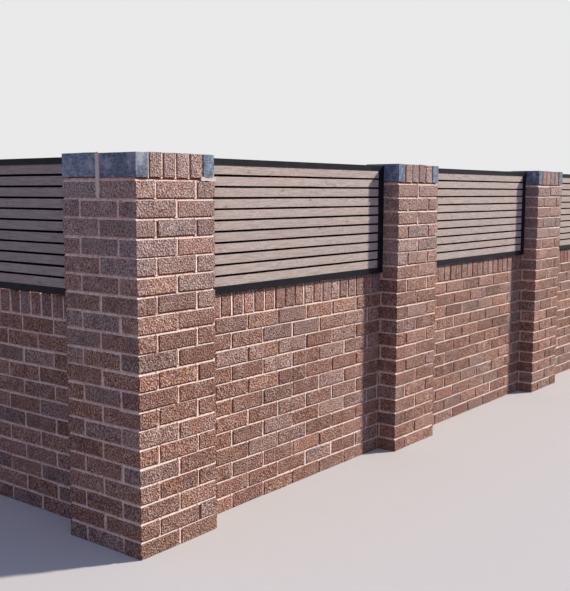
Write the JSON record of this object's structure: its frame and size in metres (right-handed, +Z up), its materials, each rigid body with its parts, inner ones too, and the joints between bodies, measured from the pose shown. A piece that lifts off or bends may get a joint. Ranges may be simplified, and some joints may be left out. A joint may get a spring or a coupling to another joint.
{
  "type": "brick garden wall",
  "caption": "Corner run of brick garden wall with square piers, brick-on-edge coping and slatted fence panels between the piers.",
  "frame": {"origin": "middle of the corner pier's foot, at ground level", "axes": "+Z up, +X along the street run, +Y along the side run; the outer faces look to -Y and -X"},
  "size_m": [8.09, 4.265, 1.6025],
  "materials": {
    "red_brickwork": "rustic faced red-brown clay brick with pale recessed mortar joints",
    "blue_brick": "smooth blue engineering brick",
    "composite_slats": "embossed wood-plastic composite, taupe",
    "frame_aluminium": "anthracite powder coat on extruded aluminium"
  },
  "bodies": {
    "root": {"corner_pier": "red_brickwork", "corner_pier_cap": "red_brickwork", "corner_pier_blue_bricks": "blue_brick", "street_pier_1": "red_brickwork", "street_pier_1_cap": "red_brickwork", "street_pier_1_blue_bricks": "blue_brick", "street_pier_2": "red_brickwork", "street_pier_2_cap": "red_brickwork", "street_pier_2_blue_bricks": "blue_brick", "street_pier_3": "red_brickwork", "street_pier_3_cap": "red_brickwork", "street_pier_3_blue_bricks": "blue_brick", "street_pier_4": "red_brickwork", "street_pier_4_cap": "red_brickwork", "street_pier_4_blue_bricks": "blue_brick", "side_pier_1": "red_brickwork", "side_pier_1_cap": "red_brickwork", "side_pier_1_blue_bricks": "blue_brick", "side_pier_2": "red_brickwork", "side_pier_2_cap": "red_brickwork", "side_pier_2_blue_bricks": "blue_brick", "street_wall_1": "red_brickwork", "street_coping_1": "red_brickwork", "street_fence_panel_1": "composite_slats", "street_wall_2": "red_brickwork", "street_coping_2": "red_brickwork", "street_fence_panel_2": "composite_slats", "street_wall_3": "red_brickwork", "street_coping_3": "red_brickwork", "street_fence_panel_3": "composite_slats", "street_wall_4": "red_brickwork", "street_coping_4": "red_brickwork", "street_fence_panel_4": "composite_slats", "side_wall_1": "red_brickwork", "side_coping_1": "red_brickwork", "side_fence_panel_1": "composite_slats", "side_wall_2": "red_brickwork", "side_coping_2": "red_brickwork", "side_fence_panel_2": "composite_slats"}
  },
  "joints": []
}
